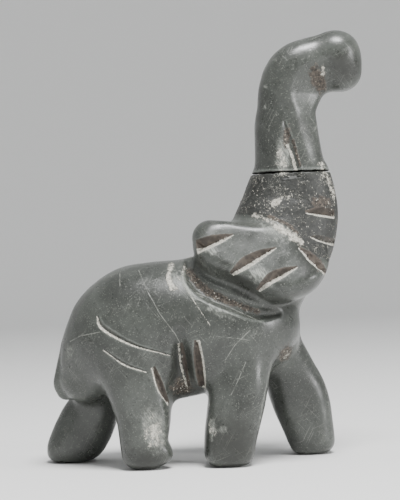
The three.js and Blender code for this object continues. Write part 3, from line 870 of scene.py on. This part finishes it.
# %% [markdown]
# ## Soapstone
#
# Soapstone is a soft grey-green talc rock. Rubbed and waxed it has a satin sheen, with
# clouds of darker and lighter stone, pale flecks of talc and a net of fine scratches.
# Where the blade or a knock has bared it, it is a dull white powder. Old brown dirt sits
# in the hollows, and around the repair the glue has caught dust and crumbs of stone. Painted
# shade darkens the stone under the ears, the throat and the belly and low on the feet, and
# painted highlights lighten the ridges, the rump, the neck and the edges of the fore leg.

# %% Colours and nodes
def srgb(code):
    """A hex colour, as linear red, green, blue and alpha."""
    parts = [int(code[k:k + 2], 16) / 255 for k in (1, 3, 5)]
    return tuple(c / 12.92 if c < 0.04045 else ((c + 0.055) / 1.055) ** 2.4 for c in parts) + (1,)


def add(tree, kind, inputs=None, **settings):
    """One node, with its settings and the values or links of its inputs; gives outputs."""
    made = tree.nodes.new(kind if "Node" in kind else "ShaderNode" + kind)
    for key, value in settings.items():
        setattr(made, key, value)
    for key, value in (inputs or {}).items():
        if isinstance(value, bpy.types.NodeSocket):
            tree.links.new(value, made.inputs[key])
        else:
            made.inputs[key].default_value = value
    return made.outputs


class Finish:
    """A material whose patterns are given in millimetres."""

    def __init__(self, name):
        self.material = bpy.data.materials.new(name)
        self.material.use_nodes = True
        self.tree = self.material.node_tree
        self.shader = self.tree.nodes["Principled BSDF"]
        self.place = add(self.tree, "TexCoord")["Object"]

    def noise(self, size, detail=2.0, **more):
        """Cloudy noise, 0 to 1, with lumps `size` millimetres across."""
        inputs = {"Vector": self.place, "Scale": 1 / (size * MM), "Detail": detail}
        return add(self.tree, "TexNoise", {**inputs, **more})["Fac"]

    def maths(self, operation, a, b=0.0):
        return add(self.tree, "Math", {0: a, 1: b}, operation=operation)[0]

    def step(self, value, low, high, out_low=0.0, out_high=1.0):
        """A smooth step from out_low below `low` to out_high above `high`."""
        inputs = {"Value": value, "From Min": low, "From Max": high,
                  "To Min": out_low, "To Max": out_high}
        return add(self.tree, "MapRange", inputs, interpolation_type="SMOOTHSTEP")[0]

    def mix(self, a, b, amount):
        """Two colours, or two numbers, mixed."""
        if isinstance(a, float) or getattr(a, "type", "") == "VALUE":
            return add(self.tree, "Mix", {0: amount, 2: a, 3: b}, data_type="FLOAT")[0]
        return add(self.tree, "Mix", {0: amount, 6: a, 7: b}, data_type="RGBA")[2]

    def mark(self, name):
        return add(self.tree, "Attribute", attribute_name=name)["Fac"]

    def ragged(self, name, noise, reach=0.5, low=0.42, high=0.58):
        """A mark with its edge broken up by noise."""
        shifted = self.maths("MULTIPLY_ADD", noise, reach)
        shifted.node.inputs[2].default_value = -0.5 * reach
        return self.step(self.maths("ADD", self.mark(name), shifted), low, high)


# %% Rubbed and waxed ground
def waxed_ground(stone):
    """Clouded grey-green talc rock with a satin skin; patina darkens the trunk's tip, painted
    shade the undersides.
    """
    # Talc flecks are nearer 0.1 mm across. They are drawn at 0.3 mm, so that they show.
    cloud = stone.step(stone.noise(9, 4, Roughness=0.6), 0.3, 0.7)
    colour = stone.mix(srgb("#333532"), srgb("#484B47"), cloud)
    mottle = stone.noise(0.9, 3, Roughness=0.65)
    colour = stone.mix(colour, srgb("#2A2C28"), stone.step(mottle, 0.5, 0.75, 0, 0.6))
    fleck = stone.step(stone.noise(0.3, 1), 0.62, 0.72)
    colour = stone.mix(colour, srgb("#989B92"), stone.maths("MULTIPLY", fleck, 0.33))
    # Painted shade darkens the undersides and the feet; on the trunk's tip the darkening is
    # patina.
    dark = stone.ragged("patina", mottle, 0.6, 0.3, 0.9)
    colour = stone.mix(colour, srgb("#22231F"), stone.maths("MULTIPLY", dark, 0.8))
    rough = stone.step(stone.noise(3, 3), 0.3, 0.7, 0.26, 0.36)
    rough = stone.mix(rough, 0.6, stone.maths("MULTIPLY", fleck, 0.5))
    return colour, rough, mottle


# %% Fine scratches
def scratched(stone, colour):
    """A net of thin stretched noise in three directions, and the named scratches."""
    net = None
    patchy = stone.step(stone.noise(7, 2), 0.45, 0.65)
    for turn, cut_off in ((28, 0.715), (-42, 0.725), (68, 0.73)):
        run = add(stone.tree, "Mapping", {"Vector": stone.place,
                  "Rotation": (0, math.radians(turn), 0),
                  "Scale": (0.12 * MM, 2.5 * MM, 6 * MM)}, vector_type="TEXTURE")[0]
        lines = add(stone.tree, "TexNoise", {"Vector": run, "Scale": 1.0, "Detail": 0.0})["Fac"]
        lines = stone.step(lines, cut_off, cut_off + 0.05)
        net = lines if net is None else stone.maths("MAXIMUM", net, lines)
    net = stone.maths("MULTIPLY", net, stone.mix(0.05, 0.35, patchy))
    line = stone.step(stone.mark("scratch"), 0.13, 0.03)
    fade = stone.step(stone.noise(1.6, 2), 0.35, 0.6)
    line = stone.maths("MULTIPLY", line, stone.mix(0.15, 0.7, fade))
    scratch = stone.maths("MAXIMUM", net, line)
    colour = stone.mix(colour, srgb("#B0B2A9"), stone.maths("MULTIPLY", scratch, 0.6))
    return colour, scratch


# %% Rubbed ridges and scuffs, with painted highlights
def worn_and_highlighted(stone, colour, rough):
    """Ridges paler from wear and a painted highlight, and scuffs: many short pale strokes over
    roughened stone, with painted highlights among them.
    """
    # Convex ridges are painted paler, partly as wear and partly as a painted highlight.
    wear_and_highlight = stone.maths("MULTIPLY", stone.step(stone.mark("edge"), 0.12, 0.7), 0.35)
    colour = stone.mix(colour, srgb("#7C817B"), wear_and_highlight)
    strokes = add(stone.tree, "Mapping", {"Vector": stone.place,
                  "Rotation": (0, math.radians(-28), 0),
                  "Scale": (0.25 * MM, 1.2 * MM, 1.1 * MM)}, vector_type="TEXTURE")[0]
    strokes = add(stone.tree, "TexNoise", {"Vector": strokes, "Scale": 1.0, "Detail": 2.0})["Fac"]
    # The pale patches on the neck, the rump and the fore leg are painted highlights.
    scuff = stone.ragged("scuff", stone.noise(0.8, 3), 0.8, 0.35, 0.8)
    scuff = stone.maths("MULTIPLY", scuff, stone.step(strokes, 0.4, 0.62, 0.3, 1))
    colour = stone.mix(colour, srgb("#9DA098"), stone.maths("MULTIPLY", scuff, 0.7))
    rough = stone.mix(rough, 0.65, scuff)
    return colour, rough, stone.maths("MULTIPLY", strokes, scuff)


# %% Old glue
def glued(stone, colour, rough):
    """The smear below the break: dull and dark, with specks of stone and curls in it."""
    smear = stone.ragged("glue", stone.noise(1.8, 3), 0.7, 0.4, 0.6)
    speck = stone.step(stone.noise(0.45, 2, Roughness=0.6), 0.64, 0.72)
    curl = stone.noise(1.5, 1, Distortion=1.8)
    curl = stone.step(stone.maths("ABSOLUTE", stone.maths("SUBTRACT", curl, 0.5)), 0.02, 0.006)
    curl = stone.maths("MULTIPLY", curl, stone.step(stone.noise(2.2, 1), 0.5, 0.6))
    crust_noise = stone.noise(1.1, 4, Roughness=0.7)
    crust = stone.mix(srgb("#131412"), srgb("#2D2E2B"), stone.step(crust_noise, 0.35, 0.65))
    crust = stone.mix(crust, srgb("#C4C1B6"),
                      stone.maths("MULTIPLY", stone.maths("MAXIMUM", speck, curl), 0.6))
    colour = stone.mix(colour, crust, stone.maths("MULTIPLY", smear, 0.9))
    rough = stone.mix(rough, 0.5, smear)
    raised = stone.maths("MULTIPLY", stone.maths("ADD", speck, curl), smear)
    return colour, rough, raised, stone.maths("MULTIPLY", crust_noise, smear)


# %% Dirt, painted shade and stained cuts
def soiled_and_shaded(stone, colour, rough):
    """Brown grime in the hollows and painted shade under the belly and between the fore legs; an
    even brown stain on one wall of each cut.
    """
    dirt_noise = stone.noise(0.6, 4, Roughness=0.75)
    # This mark is brown dirt in the hollows, and painted shade under the belly and between the
    # fore legs.
    dirt_and_shade = stone.ragged("soil", stone.noise(1.1, 4, Roughness=0.7), 1.0, 0.4, 0.62)
    brown = stone.mix(srgb("#211E1B"), srgb("#6A5F55"), stone.step(dirt_noise, 0.36, 0.7))
    brown = stone.mix(brown, srgb("#A39A8C"), stone.step(stone.noise(0.7, 2), 0.64, 0.7, 0, 0.8))
    colour = stone.mix(colour, brown, stone.maths("MULTIPLY", dirt_and_shade, 0.85))
    rough = stone.mix(rough, 0.8, dirt_and_shade)
    stain = stone.ragged("stain", stone.noise(0.5, 2), 0.3, 0.4, 0.6)
    tan = stone.mix(srgb("#38322D"), srgb("#524A43"), stone.step(stone.noise(1.3, 3), 0.35, 0.65))
    colour = stone.mix(colour, tan, stone.maths("MULTIPLY", stain, 0.95))
    rough = stone.mix(rough, 0.75, stain)
    return colour, rough, stone.maths("MULTIPLY", dirt_noise, dirt_and_shade)


# %% Bare stone and painted highlights
def bared(stone, colour, rough):
    """Powdery stone: crisp on the walls of the cuts, ragged in the patches, some of which are
    painted highlights.
    """
    grains = stone.noise(0.35, 3, Roughness=0.7)
    crisp = stone.ragged("powder", stone.noise(0.5, 3), 0.9, 0.5, 0.62)
    # The pale patches on the neck and the back edge of the fore leg are painted highlights.
    crumbly_and_highlight = stone.ragged("dust", stone.noise(1.1, 5, Roughness=0.8), 2.6, 0.5, 0.72)
    bare = stone.maths("MAXIMUM", crisp, crumbly_and_highlight)
    white = stone.mix(srgb("#8A877D"), srgb("#C9C6BB"), stone.step(grains, 0.35, 0.6))
    colour = stone.mix(colour, white, stone.maths("MULTIPLY", bare, 0.95))
    rough = stone.mix(rough, 0.9, bare)
    return colour, rough, stone.maths("MULTIPLY", grains, bare)


# %% [markdown]
# The relief of each layer is added up in millimetres and goes to one Bump node. It is
# only for grain too fine to mesh: the cuts, the crack and the crumbs are real geometry.

# %% Waxed soapstone
def waxed_soapstone():
    """The whole finish, from the rubbed stone up to the newest damage."""
    stone = Finish("waxed_soapstone")
    colour, rough, mottle = waxed_ground(stone)
    colour, scratch = scratched(stone, colour)
    colour, rough, strokes = worn_and_highlighted(stone, colour, rough)
    colour, rough, raised, crust = glued(stone, colour, rough)
    colour, rough, dirt_and_shade = soiled_and_shaded(stone, colour, rough)
    colour, rough, powder = bared(stone, colour, rough)
    height = stone.maths("MULTIPLY", mottle, 0.015)
    for amount, value in ((0.03, stone.noise(2.6, 2)), (0.012, stone.noise(0.28, 2)),
                          (-0.03, scratch), (0.06, strokes), (0.12, dirt_and_shade), (0.1, raised),
                          (0.15, crust), (0.12, powder)):
        height = stone.maths("ADD", height, stone.maths("MULTIPLY", value, amount))
    bump = add(stone.tree, "Bump", {"Height": height, "Distance": MM, "Strength": 1.0})[0]
    stone.tree.links.new(colour, stone.shader.inputs["Base Color"])
    stone.tree.links.new(rough, stone.shader.inputs["Roughness"])
    stone.tree.links.new(bump, stone.shader.inputs["Normal"])
    stone.shader.inputs["IOR"].default_value = 1.5
    return stone.material


soapstone = waxed_soapstone()
for piece in pieces.values():
    piece.data.materials.append(soapstone)
print("soapstone:", len(soapstone.node_tree.nodes), "nodes")

# %% [markdown]
# ## Crumbs at the repair
#
# Specks of stone and dust stuck in the glue when the trunk was put back, and along the
# hollows darkened with dirt and painted shade. They follow the surface, so Geometry Nodes
# scatters them: points over the faces, thicker where the "crumb" mark is high, and a small
# rough grain on each.

# %% Scatter tree
def crumb_tree(material):
    tree = bpy.data.node_groups.new("crumbs_on_glue", "GeometryNodeTree")
    face = tree.interface
    face.new_socket("Stone", in_out="INPUT", socket_type="NodeSocketGeometry")
    for socket in ("Grain Radius", "Grains per Square Metre"):
        face.new_socket(socket, in_out="INPUT", socket_type="NodeSocketFloat")
    face.new_socket("Seed", in_out="INPUT", socket_type="NodeSocketInt")
    face.new_socket("Crumbs", in_out="OUTPUT", socket_type="NodeSocketGeometry")
    given = add(tree, "NodeGroupInput")
    mark = add(tree, "GeometryNodeInputNamedAttribute", {"Name": "crumb"},
               data_type="FLOAT")["Attribute"]
    density = add(tree, "Math", {0: mark, 1: given["Grains per Square Metre"]},
                  operation="MULTIPLY")[0]
    spots = add(tree, "GeometryNodeDistributePointsOnFaces",
                {"Mesh": given["Stone"], "Density": density, "Seed": given["Seed"]})
    ball = add(tree, "GeometryNodeMeshIcoSphere", {"Radius": given["Grain Radius"]})["Mesh"]
    turn = add(tree, "FunctionNodeRandomValue", {"Min": (0, 0, 0), "Max": (6, 6, 6)},
               data_type="FLOAT_VECTOR")[0]
    scale = add(tree, "FunctionNodeRandomValue",
                {"Min": (0.35, 0.35, 0.3), "Max": (1.5, 1.1, 0.9)}, data_type="FLOAT_VECTOR")[0]
    placed = add(tree, "GeometryNodeInstanceOnPoints",
                 {"Points": spots["Points"], "Instance": ball, "Rotation": turn,
                  "Scale": scale})["Instances"]
    whole = add(tree, "GeometryNodeRealizeInstances", {"Geometry": placed})["Geometry"]
    done = add(tree, "GeometryNodeSetMaterial", {"Geometry": whole, "Material": material})
    add(tree, "NodeGroupOutput", {"Crumbs": done["Geometry"]})
    return tree


# %% The crumbs
# Stone grit in dried glue: dull, pale and uneven in tone.
grit = Finish("stone_grit_in_glue")
tone = grit.step(grit.noise(0.8, 2), 0.35, 0.65)
grit.tree.links.new(grit.mix(srgb("#6E6A61"), srgb("#C6C3B8"), tone),
                    grit.shader.inputs["Base Color"])
grit.shader.inputs["Roughness"].default_value = 0.85
carrier = bpy.data.objects.new("carrier", pieces["carved_elephant"].data)
bpy.context.scene.collection.objects.link(carrier)
scatter = carrier.modifiers.new("crumbs", "NODES")
scatter.node_group = crumb_tree(grit.material)
wanted = {"Grain Radius": 0.16 * MM, "Grains per Square Metre": 2.6e6, "Seed": 5}
for socket in scatter.node_group.interface.items_tree:
    if socket.name in wanted:
        scatter[socket.identifier] = wanted[socket.name]
seen = carrier.evaluated_get(bpy.context.evaluated_depsgraph_get())
crumb_mesh = bpy.data.meshes.new_from_object(seen)
bpy.data.objects.remove(carrier)
crumb_mesh.name = "repair_crumbs"
crumbs = bpy.data.objects.new("repair_crumbs", crumb_mesh)
bpy.context.scene.collection.objects.link(crumbs)
print("repair_crumbs:", len(crumb_mesh.polygons), "triangles")

# %% [markdown]
# ## Camera and light
#
# The piece is looked at level with its middle, from its right flank. One soft light hangs
# over it, a little towards the viewer, and a smaller one stands at its right. The floor is
# one sheet of pale paper that curves up all round, so no edge shows behind the piece.

# %% Camera
CAMERA_AT = (-0.00035, -0.400, 0.0489)
CAMERA_ROLL = math.radians(2)
camera = bpy.data.cameras.new("camera")
camera.sensor_width = 36
camera.lens = 36 * 1731.6 / 500
camera.clip_start, camera.clip_end = 0.01, 20
camera_object = bpy.data.objects.new("camera", camera)
camera_object.location = CAMERA_AT
camera_object.rotation_euler = (Matrix.Rotation(CAMERA_ROLL, 3, "Y") @
                                Euler((math.pi / 2, 0, 0)).to_matrix()).to_euler()
bpy.context.scene.collection.objects.link(camera_object)
bpy.context.scene.camera = camera_object
print("camera lens:", round(camera.lens, 1), "mm, tipped", CAMERA_ROLL, "radians")

# %% Floor
FLOOR_REACH, WALL_CURVE, WALL_TOP = 0.8, 0.5, 1.2
profile = [(0.0, 0.0), (FLOOR_REACH, 0.0)]
profile += [(FLOOR_REACH + WALL_CURVE * math.sin(a), WALL_CURVE * (1 - math.cos(a)))
            for a in np.linspace(0.1, math.pi / 2, 16)]
profile.append((FLOOR_REACH + WALL_CURVE, WALL_TOP))
floor_mesh = bpy.data.meshes.new("floor")
sheet = bmesh.new()
edge = [sheet.verts.new((r, 0, z)) for r, z in profile]
rib = [sheet.edges.new(pair) for pair in zip(edge, edge[1:])]
bmesh.ops.spin(sheet, geom=edge + rib, axis=(0, 0, 1), cent=(0, 0, 0),
               angle=2 * math.pi, steps=96, use_duplicate=False)
bmesh.ops.remove_doubles(sheet, verts=sheet.verts, dist=1e-5)
bmesh.ops.recalc_face_normals(sheet, faces=sheet.faces)
sheet.to_mesh(floor_mesh)
sheet.free()
floor_mesh.shade_smooth()
floor = bpy.data.objects.new("floor", floor_mesh)
bpy.context.scene.collection.objects.link(floor)
# Matt paper: even, pale and without gloss.
paper = Finish("pale_paper")
paper.shader.inputs["Base Color"].default_value = srgb("#E6E6E5")
paper.shader.inputs["Roughness"].default_value = 0.9
floor_mesh.materials.append(paper.material)
print("floor:", len(floor_mesh.polygons), "faces")

# %% Lights
world = bpy.data.worlds.new("studio")
world.use_nodes = True
background = world.node_tree.nodes["Background"]
background.inputs["Color"].default_value = srgb("#D2D4D6")
background.inputs["Strength"].default_value = 0.8
bpy.context.scene.world = world


def softbox(name, at, target, size, power):
    """A round soft light at one point, turned to another."""
    light = bpy.data.lights.new(name, "AREA")
    light.shape, light.size, light.energy = "DISK", size, power
    lamp = bpy.data.objects.new(name, light)
    lamp.location = at
    lamp.rotation_euler = (Vector(target) - Vector(at)).to_track_quat("-Z", "Y").to_euler()
    bpy.context.scene.collection.objects.link(lamp)


softbox("overhead", (0.08, -0.24, 0.62), (0, 0, 0.05), 0.26, 8)
softbox("right_side", (0.5, -0.26, 0.14), (0, 0, 0.06), 0.14, 1.8)

# %% Hand over to the frame
for name, node in NODES.items():
    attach(pieces[name], "root")
    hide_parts(node)
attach(crumbs, "root")
